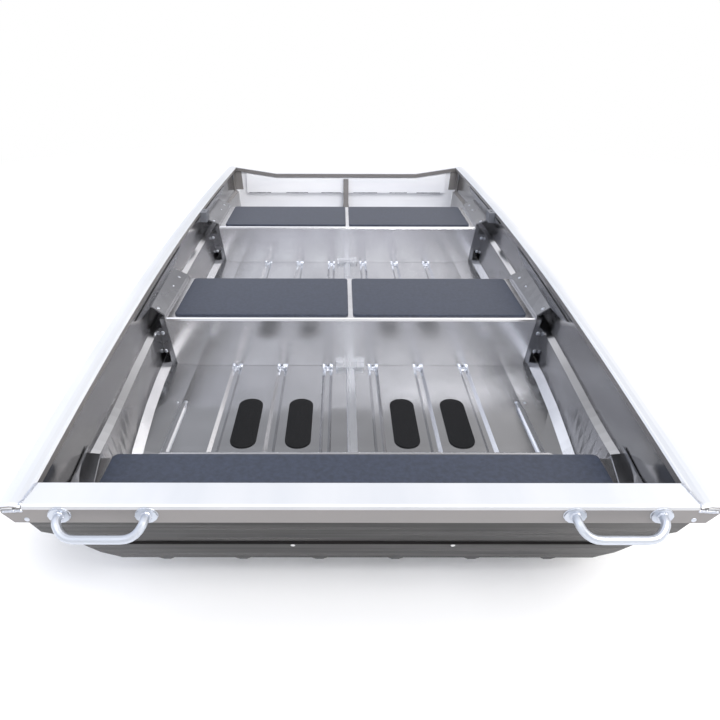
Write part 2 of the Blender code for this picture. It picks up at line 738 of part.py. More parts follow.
def keelson(front_seat, middle_seat, rear_seat, metal):
    """Centre stiffener on the floor in two lengths between the seats' feet."""
    section = ridge(KEELSON_WIDTH, KEELSON_HEIGHT, KEELSON_FOOT)
    runs = {"keelson_fore": (front_seat.rear, middle_seat.front)}
    runs["keelson_aft"] = (middle_seat.rear, rear_seat.front)
    for name, (front, rear) in runs.items():
        last = rear - TEE_WIDTH - 2 * SEAM
        steps = 8
        loops = []
        for step in range(steps + 1):
            station = front + SEAM + (last - front - SEAM) * step / steps
            base = floor_rise(station) + SEAM
            loops.append([(x, station, base + z) for x, z in section])
        mesh = mesh_from(name, lambda shape: loft(shape, loops))
        place(name, mesh, metal)
        tee = name.replace("keelson", "keelson_tee")
        aft = rear - SEAM
        outline = rounded_rectangle(-TEE_LENGTH / 2, TEE_LENGTH / 2, aft - TEE_WIDTH, aft, TEE_CORNER)
        mesh = mesh_from(tee, lambda shape: slab(shape, outline, SEAM, TEE_HEIGHT))
        place(tee, mesh, metal)


def bow_joiner(name, side, front_seat, metal):
    """Welded bar along the chine from under the front seat to its domed end."""
    steps = 14
    end_share = 0.4
    section_shares = [(-0.5, 0.0), (0.5, 0.0), (0.5, 0.45), (0.25, 1.0), (-0.25, 1.0), (-0.5, 0.45)]
    front = front_seat.rear_at(chine_half(front_seat.rear)) + SEAM
    loops = []
    for step in range(steps + 1):
        station = front + (JOINER_END_STATION - front) * step / steps
        taper = min((JOINER_END_STATION - station) / JOINER_WIDTH, 1.0)
        size_share = end_share + (1 - end_share) * math.sqrt(max(taper * (2 - taper), 0.0))
        base = floor_rise(station) + SEAM
        centre = chine_half(station) - JOINER_WIDTH / 2
        loop = []
        for across, up in section_shares:
            x = side * (centre + across * JOINER_WIDTH * size_share)
            loop.append((x, station, base + up * JOINER_HEIGHT * size_share))
        loops.append(loop)
    mesh = mesh_from(name, lambda shape: loft(shape, loops))
    return place(name, mesh, metal)


def bend_path(points, radii, steps=5):
    """Polyline whose inner corners are rounded, each over its own length."""
    path = [Vector(points[0])]
    for before, corner, after, radius in zip(points, points[1:], points[2:], radii):
        corner = Vector(corner)
        back = (Vector(before) - corner).normalized()
        ahead = (Vector(after) - corner).normalized()
        for step in range(steps + 1):
            share = step / steps
            path.append(corner + back * radius * (1 - share) ** 2 + ahead * radius * share ** 2)
    path.append(Vector(points[-1]))
    return path


def tube_loops(path, radius, steps=ROUND_STEPS):
    """Circles square to a path."""
    loops = []
    count = len(path)
    side = None
    for index, point in enumerate(path):
        along = (path[min(index + 1, count - 1)] - path[max(index - 1, 0)]).normalized()
        if side is None:
            side = along.orthogonal().normalized()
        side = (side - along * side.dot(along)).normalized()
        up = along.cross(side)
        loop = []
        for step in range(steps):
            angle = 2 * math.pi * step / steps
            loop.append(point + side * radius * math.cos(angle) + up * radius * math.sin(angle))
        loops.append(loop)
    return loops


def bow_handle(name, side, metal):
    """Bent tube with oval feet welded to the bow cap's front lip."""
    lip_middle = sheer_rise(0.0) + CAP_WALL - BOW_CAP_LIP / 2
    face = -SEAM
    base = face - HANDLE_BASE_THICKNESS
    bend = base - HANDLE_STUB
    reach = face - HANDLE_REACH
    drop = lip_middle - HANDLE_DROP
    outer = HANDLE_CENTRE + HANDLE_SPAN / 2
    inner = HANDLE_CENTRE - HANDLE_SPAN / 2
    seat_plane = (base + face) / 2
    points = [(side * outer, seat_plane, lip_middle), (side * outer, bend, lip_middle)]
    points += [(side * (outer - HANDLE_NARROWING), reach, drop)]
    points += [(side * (inner + HANDLE_NARROWING), reach, drop)]
    points += [(side * inner, bend, lip_middle), (side * inner, seat_plane, lip_middle)]
    radii = (HANDLE_STUB / 2, HANDLE_CORNER, HANDLE_CORNER, HANDLE_STUB / 2)
    path = bend_path(points, radii)
    tube = place(name, mesh_from(name, lambda shape: loft(shape, tube_loops(path, HANDLE_TUBE))), metal)
    for index, x in enumerate((outer, inner)):
        foot_name = f"{name}_foot_{index}"
        oval = [(side * x + HANDLE_BASE_HALF * math.cos(2 * math.pi * step / ROUND_STEPS),
                 lip_middle + HANDLE_BASE_HEIGHT / 2 * math.sin(2 * math.pi * step / ROUND_STEPS))
                for step in range(ROUND_STEPS)]
        loops = [[(across, station, up) for across, up in oval] for station in (base, face)]
        foot = place(foot_name, mesh_from(foot_name, lambda shape: loft(shape, loops)), metal)
        foot.hide_render = True
        foot.display_type = "WIRE"
        union = tube.modifiers.new(f"Foot {index}", "BOOLEAN")
        union.operation = "UNION"
        union.solver = "EXACT"
        union.object = foot
    return tube


def rowlock(name, side, plastic):
    """Socket block under the gunwale's inner edge, with its upright bore."""
    top = sheer_rise(ROWLOCK_STATION) - SEAM
    inner = rim_half(ROWLOCK_STATION)
    left, right = sorted((side * (inner - ROWLOCK_WIDTH), side * (inner - SEAM)))
    front = ROWLOCK_STATION - ROWLOCK_LENGTH / 2
    outline = rounded_rectangle(left, right, front, front + ROWLOCK_LENGTH, ROWLOCK_EDGE)
    build = mesh_from(name, lambda shape: slab(shape, outline, top - ROWLOCK_HEIGHT, top))
    block = place(name, build, plastic)
    centre = (left + right) / 2
    path = [Vector((centre, ROWLOCK_STATION, top + OVERRUN))]
    path += [Vector((centre, ROWLOCK_STATION, top - ROWLOCK_HEIGHT - OVERRUN))]
    bore = f"{name}_bore"
    cutter = place(bore, mesh_from(bore, lambda shape: loft(shape, tube_loops(path, ROWLOCK_BORE))), plastic)
    cut(block, cutter)
    return block


def stern_corner(name, side, metal):
    """Angle that lines the upright joint of hull side and transom, between the ledge and the gunwale."""
    wall = CORNER_THICKNESS
    loops = []
    for rise in (UPPER_LEDGE_RISE + CURVE_CLEARANCE, sheer_rise(LENGTH) - CAP_INNER_LEG):
        aft = stern_station(rise) - SEAM
        front = aft - CORNER_ARM
        corner = side_half(aft, rise) - CURVE_CLEARANCE
        end = side_half(front, rise) - CURVE_CLEARANCE
        section = [(corner, aft), (corner - CORNER_ARM, aft), (corner - CORNER_ARM, aft - wall)]
        section += [(corner - wall, aft - wall), (end - wall, front), (end, front)]
        loops.append([(side * x, station, rise) for x, station in section])
    mesh = mesh_from(name, lambda shape: loft(shape, loops))
    return place(name, mesh, metal)


def build_boat():
    clear_scene()
    sheet = paint("hull_aluminium", (0.60, 0.59, 0.57), 0.38, 1.0)
    trim = paint("trim_aluminium", (0.80, 0.80, 0.80), 0.32, 1.0)
    foam = paint("seat_pad_foam", (0.075, 0.085, 0.115), 0.75, 0.0)
    rubber = paint("floor_pad_rubber", (0.015, 0.018, 0.024), 0.65, 0.0)
    plastic = paint("rowlock_plastic", (0.09, 0.09, 0.10), 0.5, 0.0)

    lip = SEAT_RISE - FRONT_SEAT_LIP
    bow_front = bow_station(lip) + SEAM
    front_seat = Seat("front_seat", bow_front, FRONT_SEAT_DEPTH, FRONT_SEAT_HALF, FRONT_SEAT_FOOT_INSET, lip,
                      FRONT_SEAT_TONGUE)
    middle_seat = Seat("middle_seat", LENGTH * MIDDLE_SEAT_SHARE, SEAT_DEPTH, SEAT_HALF, SEAT_FOOT_INSET)
    rear_seat = Seat("rear_seat", LENGTH * REAR_SEAT_SHARE, SEAT_DEPTH, SEAT_HALF, SEAT_FOOT_INSET)
    pairs = ("_starboard", "_port")

    bottom_skin(sheet)
    bow_plate(sheet)
    transom_plate(sheet)
    bow_cap(trim)
    transom_cap(trim)
    transom_fittings(sheet, trim)
    for side, word in ((PORT, "port"), (STARBOARD, "starboard")):
        side_skin(f"side_skin_{word}", side, sheet)
        gunwale(f"gunwale_{word}", side, trim)
        bow_joiner(f"bow_joiner_{word}", side, front_seat, trim)
        bow_handle(f"bow_handle_{word}", side, trim)
        rowlock(f"rowlock_{word}", side, plastic)
        stern_corner(f"stern_corner_{word}", side, trim)
    for seat, words in ((front_seat, ("",)), (middle_seat, pairs), (rear_seat, pairs)):
        seat_body(seat, sheet)
        seat_pads(seat, words, foam)
        seat_bracket(seat, PORT, "port", sheet)
        seat_bracket(seat, STARBOARD, "starboard", sheet)
    floor_pads(rubber)
    keelson(front_seat, middle_seat, rear_seat, trim)


build_boat()
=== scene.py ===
# The looks of a pressed aluminium punt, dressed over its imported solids.
import math

import bmesh
import bpy
from mathutils import Matrix, Vector, noise
from mathutils.bvhtree import BVHTree


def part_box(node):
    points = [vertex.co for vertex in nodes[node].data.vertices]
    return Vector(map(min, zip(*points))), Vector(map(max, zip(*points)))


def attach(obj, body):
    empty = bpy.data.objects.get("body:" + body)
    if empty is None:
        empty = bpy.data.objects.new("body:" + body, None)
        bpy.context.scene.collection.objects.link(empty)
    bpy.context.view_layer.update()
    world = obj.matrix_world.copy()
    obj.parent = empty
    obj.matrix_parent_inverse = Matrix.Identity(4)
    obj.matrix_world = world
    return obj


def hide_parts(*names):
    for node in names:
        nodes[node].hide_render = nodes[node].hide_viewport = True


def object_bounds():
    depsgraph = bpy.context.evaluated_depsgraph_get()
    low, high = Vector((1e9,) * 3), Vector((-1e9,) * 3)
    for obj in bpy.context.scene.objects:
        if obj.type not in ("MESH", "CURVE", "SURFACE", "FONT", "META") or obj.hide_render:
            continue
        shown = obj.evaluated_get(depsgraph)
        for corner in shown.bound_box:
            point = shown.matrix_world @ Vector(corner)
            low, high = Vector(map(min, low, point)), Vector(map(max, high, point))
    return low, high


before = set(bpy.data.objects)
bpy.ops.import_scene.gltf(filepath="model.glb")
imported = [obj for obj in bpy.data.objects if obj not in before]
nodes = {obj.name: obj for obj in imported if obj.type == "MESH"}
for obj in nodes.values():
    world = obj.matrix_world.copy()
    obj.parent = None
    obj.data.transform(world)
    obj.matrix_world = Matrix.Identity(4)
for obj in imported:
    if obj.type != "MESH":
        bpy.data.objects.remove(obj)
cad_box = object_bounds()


# Floor sheet. One sheet of 5052 aluminium, pressed with six ribs and dished up to the bow, and left
# in its mill finish: a warm grey mirror blurred by rolling lines, with faint smears and oil-canning.

def srgb(hex_code):
    """A hex colour as linear red, green, blue and alpha."""
    values = [int(hex_code[i:i + 2], 16) / 255 for i in (1, 3, 5)]
    return tuple(v / 12.92 if v <= 0.04045 else ((v + 0.055) / 1.055) ** 2.4 for v in values) + (1.0,)


def add(tree, kind, settings=None, **links):
    """Add a node, set its properties, and set or link its sockets, named or numbered as i0, i1 and on."""
    item = tree.nodes.new(kind)
    for key, value in (settings or {}).items():
        setattr(item, key, value)
    for key, value in links.items():
        numbered = key[0] == "i" and key[1:].isdigit()
        socket = item.inputs[int(key[1:])] if numbered else item.inputs[key.replace("_", " ")]
        if isinstance(value, bpy.types.NodeSocket):
            tree.links.new(value, socket)
        else:
            socket.default_value = value
    return item


def new_material(name, colour, roughness, metallic):
    """A material with its plain values on the shader's own sockets."""
    material = bpy.data.materials.new(name)
    material.use_nodes = True
    tree = material.node_tree
    shader = tree.nodes["Principled BSDF"]
    shader.inputs["Base Color"].default_value = srgb(colour)
    shader.inputs["Roughness"].default_value = roughness
    shader.inputs["Metallic"].default_value = metallic
    return material, tree, shader


MM = 0.001
LENGTHWAYS, ACROSS = 1, 0


def rolled_sheet(name, colour, smear, roughness, rolling, swell,
                 metallic=1.0, smear_width=120 * MM, painted_shade_flank=None):
    """Rolled metal: lines along it, faint smears, waves of a height, and a darker colour on its flanks as
    painted shade.
    """
    # Real rolling lines are under a tenth of a millimetre wide. They are drawn as coarse as they show.
    line_width, line_length = 1.1 * MM, 160 * MM
    smear_length, wave_size = 500 * MM, 210 * MM
    material, tree, shader = new_material(name, colour, roughness, metallic)
    place = add(tree, "ShaderNodeTexCoord").outputs["Object"]
    stretch = [1 / line_width] * 3
    stretch[rolling] = 1 / line_length
    lines_at = add(tree, "ShaderNodeMapping", Vector=place, Scale=stretch).outputs[0]
    lines = add(tree, "ShaderNodeTexNoise", Vector=lines_at, Scale=1.0, Detail=2.0, Roughness=0.55).outputs[0]
    stretch = [1 / smear_width] * 3
    stretch[rolling] = 1 / smear_length
    smears_at = add(tree, "ShaderNodeMapping", Vector=place, Scale=stretch).outputs[0]
    smears = add(tree, "ShaderNodeTexNoise", Vector=smears_at, Scale=1.0, Detail=3.0,
                 Roughness=0.5).outputs[0]
    amount = add(tree, "ShaderNodeMapRange", Value=smears, From_Min=0.35, From_Max=0.65).outputs[0]
    tone = add(tree, "ShaderNodeMix", {"data_type": "RGBA"}, i0=amount, i6=srgb(colour),
               i7=srgb(smear)).outputs[2]
    # Painted shade: faces that do not face up get a darker colour, standing in for the shade and dark
    # reflections on them.
    if painted_shade_flank:
        facing = add(tree, "ShaderNodeNewGeometry").outputs["Normal"]
        upward = add(tree, "ShaderNodeSeparateXYZ", Vector=facing).outputs[2]
        top = add(tree, "ShaderNodeMapRange", Value=upward, From_Min=0.15, From_Max=0.6).outputs[0]
        tone = add(tree, "ShaderNodeMix", {"data_type": "RGBA"}, i0=top, i6=srgb(painted_shade_flank), i7=tone).outputs[2]
    tree.links.new(tone, shader.inputs["Base Color"])
    dull = add(tree, "ShaderNodeMapRange", Value=smears, From_Min=0.3, From_Max=0.75,
               To_Min=roughness - 0.03, To_Max=roughness + 0.08).outputs[0]
    tree.links.new(dull, shader.inputs["Roughness"])
    fine = add(tree, "ShaderNodeBump", Strength=0.35, Distance=0.03 * MM, Height=lines)
    if swell:
        waves = add(tree, "ShaderNodeTexNoise", Vector=place, Scale=1 / wave_size, Detail=1.0).outputs[0]
        coarse = add(tree, "ShaderNodeBump", Strength=1.0, Distance=swell, Height=waves)
        tree.links.new(coarse.outputs[0], fine.inputs["Normal"])
    tree.links.new(fine.outputs[0], shader.inputs["Normal"])
    return material


def dress(material, *names):
    """Give CAD nodes a material in place of their plain one."""
    for name in names:
        slots = nodes[name].data.materials
        slots.clear()
        slots.append(material)


floor_sheet = rolled_sheet("mill_finish_floor_sheet", "#d9dadd", "#cacbce", 0.15, LENGTHWAYS, 2.4 * MM)
dress(floor_sheet, "bottom_skin")


# Hull sides. The same sheet, folded into two ledges that stiffen it. They lean out a little and mirror the
# floor and the seats more than the light; their darker look beside the ledges is painted shade on faces that
# do not face up.

PORT, STARBOARD = "port", "starboard"
WORDS = (PORT, STARBOARD)
SIDES = ((1, PORT), (-1, STARBOARD))
side_sheet = rolled_sheet("mill_finish_side_sheet", "#ececee", "#e2e2e4", 0.15, LENGTHWAYS, 2.0 * MM,
                          painted_shade_flank="#8f8e8e")
dress(side_sheet, "side_skin_port", "side_skin_starboard")


# Bow plate. A raked plate closing the bow, with one fold across it and darker streaks along its length. Its
# dark colour is painted shade for the shadowed floor it mirrors. Two domed rivets hold it to the frame
# behind.

painted_shade_bow_sheet = rolled_sheet("dark_shaded_bow_sheet", "#373535", "#212020", 0.28, ACROSS, 1.2 * MM,
                         smear_width=14 * MM)
dress(painted_shade_bow_sheet, "bow_plate")
AFT = Vector((0, 1, 0))
CLEAR = 0.1


def surface(*names):
    """A tree to cast rays at the outer faces of some CAD nodes."""
    points, faces = [], []
    for name in names:
        mesh = nodes[name].data
        first = len(points)
        points += [vertex.co.copy() for vertex in mesh.vertices]
        faces += [[first + index for index in face.vertices] for face in mesh.polygons]
    return BVHTree.FromPolygons(points, faces)


def laid_on(tree, points, inward):
    """The places and normals where lines from a row of points, along one direction, meet a surface."""
    hits = [tree.ray_cast(Vector(point), inward) for point in points]
    return [(place, normal if normal.dot(inward) < 0 else -normal) for place, normal, _, _ in hits if place]


SHARP_FOLD = math.radians(40)


def new_piece(name, build, material):
    """A mesh piece made by a bmesh builder, riding on the hull."""
    shape = bmesh.new()
    build(shape)
    bmesh.ops.recalc_face_normals(shape, faces=shape.faces)
    mesh = bpy.data.meshes.new(name)
    shape.to_mesh(mesh)
    shape.free()
    mesh.materials.append(material)
    mesh.shade_smooth()
    mesh.set_sharp_from_angle(angle=SHARP_FOLD)
    piece = bpy.data.objects.new(name, mesh)
    bpy.context.collection.objects.link(piece)
    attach(piece, "root")
    return piece


def join_rings(shape, rings):
    """Faces between closed rings of corners, one ring after the other."""
    for ring, after in zip(rings, rings[1:]):
        for index in range(len(ring)):
            step = (index + 1) % len(ring)
            shape.faces.new((ring[index], ring[step], after[step], after[index]))


def dome(shape, place, normal, radius, height):
    """A low dome that stands on a surface, such as a rivet's head or a spot of weld."""
    steps, rings, sink = 14, 4, 0.3 * MM
    across = normal.orthogonal().normalized()
    along = normal.cross(across)
    loops = []
    for ring in range(rings):
        angle = math.pi / 2 * ring / rings
        loops.append([place + (across * math.cos(turn) + along * math.sin(turn)) * radius * math.cos(angle)
                      + normal * (height * math.sin(angle) - sink)
                      for turn in (2 * math.pi * step / steps for step in range(steps))])
    rows = [[shape.verts.new(point) for point in loop] for loop in loops]
    join_rings(shape, rows)
    crest = shape.verts.new(place + normal * (height - sink))
    for index in range(steps):
        shape.faces.new((rows[-1][index], rows[-1][(index + 1) % steps], crest))
    shape.faces.new(rows[0][::-1])


def dome_on(shape, tree, point, inward, radius, height):
    """A dome where a line from a point, along a direction, meets a surface."""
    for place, normal in laid_on(tree, [point], inward):
        dome(shape, place, normal, radius, height)


rivet_metal, _, _ = new_material("drawn_rivet_aluminium", "#dcdcdc", 0.25, 1.0)
BOW_RIVETS = ((-0.131, 0.168), (0.189, 0.168))
RIVET_RADIUS = 5 * MM
RIVET_HEIGHT = 2.4 * MM


def bow_rivets(shape):
    """The two rivets' heads, set on the raked plate."""
    ahead_of_bow = cad_box[0][1] - CLEAR
    plate = surface("bow_plate")
    for x, height in BOW_RIVETS:
        dome_on(shape, plate, (x, ahead_of_bow, height), AFT, RIVET_RADIUS, RIVET_HEIGHT)


new_piece("bow_plate_rivets", bow_rivets, rivet_metal)


# Transom. The stern plate and the board across it get a whiter, less metallic copy of the sheet: painted
# light for the light they catch from above as they lean back, so they look nearly white from the bow.

painted_light_stern_sheet = rolled_sheet("lit_copy_stern_sheet", "#f4f5f8", "#ebecf1", 0.4, ACROSS, 0.6 * MM, metallic=0.2)
dress(painted_light_stern_sheet, "transom_plate", "motor_board")


# Gunwales and bow cap. Extruded channel in clear satin anodising, which scatters the light and looks almost
# white on top; its flanks get a darker colour as painted shade. The cap is welded to the gunwales along its
# ends, and each gunwale's closed nose along its lower edge.

anodised_cap = rolled_sheet("satin_anodised_channel", "#dddfe3", "#d3d6db", 0.38, LENGTHWAYS, 0.0,
                            metallic=0.35, painted_shade_flank="#858281")
dress(anodised_cap, "gunwale_port", "gunwale_starboard", "bow_cap")


def weld_metal(name, colour, roughness, lump_size, lump_height):
    """Weld: bright metal with small uneven lumps over its ripples."""
    material, tree, shader = new_material(name, colour, roughness, 1.0)
    place = add(tree, "ShaderNodeTexCoord").outputs["Object"]
    lumps = add(tree, "ShaderNodeTexNoise", Vector=place, Scale=1 / lump_size, Detail=2.0).outputs[0]
    bump = add(tree, "ShaderNodeBump", Strength=1.0, Distance=lump_height, Height=lumps).outputs[0]
    tree.links.new(bump, shader.inputs["Normal"])
    return material


def bead(shape, path, width, height, pitch, seed=0.0):
    """A run of weld along a path of places and normals: ripples one over the other, with an uneven edge."""
    steps_a_ripple, arc_steps, sink = 4, 6, 0.4 * MM
    places = [Vector(place) for place, _ in path]
    normals = [Vector(normal).normalized() for _, normal in path]
    runs = [0.0]
    for first, second in zip(places, places[1:]):
        runs.append(runs[-1] + (second - first).length)
    count = max(6, round(runs[-1] / pitch * steps_a_ripple))
    rows = []
    for step in range(count + 1):
        run = runs[-1] * step / count
        index = max(i for i in range(len(runs) - 1) if runs[i] <= run or i == 0)
        share = (run - runs[index]) / max(runs[index + 1] - runs[index], 1e-9)
        place = places[index].lerp(places[index + 1], share)
        normal = normals[index].lerp(normals[index + 1], share).normalized()
        along = (places[index + 1] - places[index]).normalized()
        across = along.cross(normal).normalized()
        swell = 1 - 0.4 * (run / pitch % 1.0)
        uneven = 1 + 0.35 * noise.noise(Vector((run / (2 * pitch), seed, 0.0)))
        end = min(1.0, (min(run, runs[-1] - run) + width / 8) / (width / 2)) ** 0.5
        half = width / 2 * uneven * end * (0.8 + 0.2 * swell)
        tall = height * swell * uneven * end
        turns = [math.pi * i / arc_steps for i in range(arc_steps + 1)]
        arc = [(half * math.cos(turn), tall * math.sin(turn) - sink) for turn in turns]
        rows.append([shape.verts.new(place + across * aside + normal * rise) for aside, rise in arc])
    for row, after in zip(rows, rows[1:]):
        for i in range(arc_steps):
            shape.faces.new((row[i], row[i + 1], after[i + 1], after[i]))
        shape.faces.new((row[-1], row[0], after[0], after[-1]))
    shape.faces.new(rows[0])
    shape.faces.new(rows[-1][::-1])


def between(first, second, steps):
    """Points in a row between two points."""
    return [Vector(first).lerp(Vector(second), step / steps) for step in range(steps + 1)]


bright_weld = weld_metal("bright_weld", "#c9cdd6", 0.3, 2.5 * MM, 0.8 * MM)
# Its darker grey is painted shadow for the gaps these welds lie along.
painted_shadow_weld = weld_metal("shaded_weld", "#83858a", 0.35, 3.0 * MM, 1.2 * MM)
DOWN = Vector((0, 0, -1))
PATH_STEPS = 8
SEAM_INSET = 3 * MM
SEAM_BEAD = 8 * MM
SEAM_BEAD_HEIGHT = 2.4 * MM
SEAM_PITCH = 5 * MM
NOSE_BEAD = 6 * MM
NOSE_BEAD_RISE = 5 * MM
NOSE_PITCH = 3 * MM
LIP_SPOT = 5 * MM
LIP_SPOT_DROP = 30 * MM


def bow_seams(shape):
    """Welds on top between the cap and each gunwale, and round each nose."""
    (_, front, _), (_, rear, top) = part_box("bow_cap")
    for side, word in SIDES:
        tree = surface("bow_cap", f"gunwale_{word}")
        low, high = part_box(f"gunwale_{word}")
        inner = min(abs(low[0]), abs(high[0])) - SEAM_INSET
        above = top + CLEAR
        start = (side * inner, rear - SEAM_INSET, above)
        finish = (side * (inner + 2 * SEAM_INSET), front + SEAM_INSET, above)
        path = laid_on(tree, between(start, finish, PATH_STEPS), DOWN)
        bead(shape, path, SEAM_BEAD, SEAM_BEAD_HEIGHT, SEAM_PITCH, side)
        ahead = front - CLEAR
        height = top - 2 * NOSE_BEAD_RISE
        start = (side * inner, ahead, height)
        finish = (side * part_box("bow_cap")[1][0], ahead, height - NOSE_BEAD_RISE / 2)
        path = laid_on(tree, between(start, finish, PATH_STEPS), AFT)
        bead(shape, path, NOSE_BEAD, SEAM_BEAD_HEIGHT, NOSE_PITCH, side + 2)
        spot = (side * (inner - SEAM_INSET), ahead, top - LIP_SPOT_DROP)
        dome_on(shape, tree, spot, AFT, LIP_SPOT, LIP_SPOT / 3)


new_piece("bow_seam_welds", bow_seams, bright_weld)


# Stern fittings. The notch cap, the corner angles, the brace and the outer pad are the same anodised metal.
# The board is held by six short welds along its lower edge, and each corner by a rough one; their darker grey
# is painted shadow for the gaps they lie along.

dress(anodised_cap, "transom_cap", "stern_corner_port", "stern_corner_starboard", "motor_pad",
      "transom_brace")
FORWARD = Vector((0, -1, 0))
BOARD_WELD_STARTS = (-0.600, -0.370, -0.153, 0.046, 0.270, 0.437)
BOARD_WELD_LENGTHS = (0.137, 0.137, 0.123, 0.149, 0.110, 0.149)
BOARD_WELD = 7 * MM
BOARD_WELD_INSET = 2 * MM
BOARD_WELD_LEAN = (0, -0.6, -0.8)
BOARD_PITCH = 9 * MM
BOARD_STEPS = 6
CORNER_WELD = 8 * MM
CORNER_PITCH = 14 * MM
BOLT_SIDE = 0.120
BOLT_SPREAD = 60 * MM
BOLT_RADIUS = 7 * MM


def stern_welds(shape):
    """Welds under the board and down the outer edge of each corner angle."""
    (_, front, bottom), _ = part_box("motor_board")
    for start, length in zip(BOARD_WELD_STARTS, BOARD_WELD_LENGTHS):
        ends = [(x, front + BOARD_WELD_INSET, bottom) for x in (start, start + length)]
        path = [(point, BOARD_WELD_LEAN) for point in between(*ends, BOARD_STEPS)]
        bead(shape, path, BOARD_WELD, BOARD_WELD / 2, BOARD_PITCH, start)
    for side, word in SIDES:
        low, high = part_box(f"stern_corner_{word}")
        edge = max(abs(low[0]), abs(high[0])) - CORNER_WELD / 2
        heights = (low[2] + CORNER_WELD, high[2] - CORNER_WELD)
        ends = [(side * edge, low[1] - CLEAR, height) for height in heights]
        path = laid_on(surface(f"stern_corner_{word}"), between(*ends, PATH_STEPS), AFT)
        bead(shape, path, CORNER_WELD, CORNER_WELD / 2, CORNER_PITCH, side)


new_piece("stern_welds", stern_welds, painted_shadow_weld)


def motor_pad_bolts(shape):
    """Four bolt heads through the outer pad."""
    (_, _, bottom), (_, rear, top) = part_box("motor_pad")
    tree = surface("motor_pad")
    for side in (-1, 1):
        for height in ((bottom + top) / 2 - BOLT_SPREAD, (bottom + top) / 2 + BOLT_SPREAD):
            behind = (side * BOLT_SIDE, rear + CLEAR, height)
            dome_on(shape, tree, behind, FORWARD, BOLT_RADIUS, BOLT_RADIUS / 3)


new_piece("motor_pad_bolts", motor_pad_bolts, rivet_metal)


# Bow handles. Bent aluminium tube, rubbed to a soft grey white, each foot set on an oval pad. A ring of
# weld holds the tube to its pad, and a thin one holds the pad to the cap's lip.

tube_metal, tree, shader = new_material("bent_tube_aluminium", "#c3c8d1", 0.38, 0.85)
place = add(tree, "ShaderNodeTexCoord").outputs["Object"]
rubbed = add(tree, "ShaderNodeTexNoise", Vector=place, Scale=1 / (9 * MM), Detail=3.0).outputs[0]
rub_roughness = add(tree, "ShaderNodeMapRange", Value=rubbed, To_Min=0.3, To_Max=0.46).outputs[0]
tree.links.new(rub_roughness, shader.inputs["Roughness"])
dress(tube_metal, "bow_handle_port", "bow_handle_starboard")
FOOT_HALF_WIDTH = 20 * MM
FOOT_HALF_HEIGHT = 15.5 * MM
FOOT_THICKNESS = 4 * MM
TUBE_RADIUS = 8 * MM
TUBE_WELD = 7 * MM
TUBE_WELD_LEAN = -0.7
TUBE_PITCH = 6 * MM
FOOT_WELD = 3 * MM
FOOT_WELD_LEAN = -0.8
FOOT_PITCH = 3 * MM
RING_STEPS = 24


def handle_welds(shape):
    """Rings of weld round the tubes' ends and round their pads."""
    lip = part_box("bow_cap")[0][1]
    for word in WORDS:
        low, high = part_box(f"bow_handle_{word}")
        height = high[2] - FOOT_HALF_HEIGHT
        for x in (low[0] + FOOT_HALF_WIDTH, high[0] - FOOT_HALF_WIDTH):
            turns = [2 * math.pi * step / RING_STEPS for step in range(RING_STEPS + 1)]
            front = lip - FOOT_THICKNESS
            ring = [((x + TUBE_RADIUS * math.cos(turn), front, height + TUBE_RADIUS * math.sin(turn)),
                     (math.cos(turn), TUBE_WELD_LEAN, math.sin(turn))) for turn in turns]
            bead(shape, ring, TUBE_WELD, TUBE_WELD / 2, TUBE_PITCH, x)
            rim = [((x + FOOT_HALF_WIDTH * math.cos(turn), lip, height + FOOT_HALF_HEIGHT * math.sin(turn)),
                    (math.cos(turn), FOOT_WELD_LEAN, math.sin(turn))) for turn in turns]
            bead(shape, rim, FOOT_WELD, FOOT_WELD / 2, FOOT_PITCH, x + 1)


new_piece("handle_welds", handle_welds, bright_weld)


# Seats. Sheet folded down at the front and rear edges and brushed along the folds, so their faces
# draw out the reflections of the floor and of its pads into upright streaks. A short weld closes each
# of the floor's ribs where it runs under a face.

seat_sheet = rolled_sheet("brushed_seat_sheet", "#f5f5f8", "#ececef", 0.2, ACROSS, 0.8 * MM)
dress(seat_sheet, "front_seat", "middle_seat", "rear_seat")
RIBS = 6
RIB_SPACING = 160 * MM
RIB_MOUTH = 36 * MM
RIB_BEAD = 13 * MM
RIB_BEAD_HEIGHT = 11 * MM
RIB_BEAD_GAP = 4 * MM
RIB_PITCH = 6 * MM
RIB_STEPS = 12


def rib_end_welds(shape):
    """A short run of weld that closes each of the floor's ribs under the face of a seat."""
    floor = surface("bottom_skin")
    for seat in ("middle_seat", "rear_seat"):
        (_, front, _), (_, _, top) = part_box(seat)
        for index in range(RIBS):
            x = (index - (RIBS - 1) / 2) * RIB_SPACING
            ends = [(x + share * RIB_MOUTH, front - RIB_BEAD_GAP, top) for share in (-0.5, 0.5)]
            path = laid_on(floor, between(*ends, RIB_STEPS), DOWN)
            bead(shape, path, RIB_BEAD, RIB_BEAD_HEIGHT, RIB_PITCH, index)


new_piece("rib_end_welds", rib_end_welds, bright_weld)


# Seat brackets. Folded plates between each seat's ends and the hull's ledges, given a darker copy of the
# sheet as painted shade.
# Each is riveted to the ledge, and short blobs of weld hold its edges. The flange beside each seat's
# face closes up against the hull side and down onto the bilge.

SEATS = ("front_seat", "middle_seat", "rear_seat")
painted_shade_bracket_sheet = rolled_sheet("shaded_folded_bracket_sheet", "#949599", "#87888d", 0.24, LENGTHWAYS, 0.5 * MM)
dress(painted_shade_bracket_sheet, *[f"{seat}_bracket_{word}" for seat in SEATS for word in WORDS])
BRACKET_RIVET = 5 * MM
BRACKET_SPOT = 7 * MM
SPOT_STATION_SHARES = (0.06, 0.86)
RIVET_STATION_SHARE = 0.62
FACE_SPOT_HEIGHTS = (0.140, 0.070)
FRONT_RIVET_INSET = 13 * MM
FLANGE_SHEET = 2.4 * MM
FLANGE_RISES = (0.075, 0.160)
FLANGE_STEPS = 8
FLANGE_GAP = 0.4 * MM
FOOT_STEPS = 5


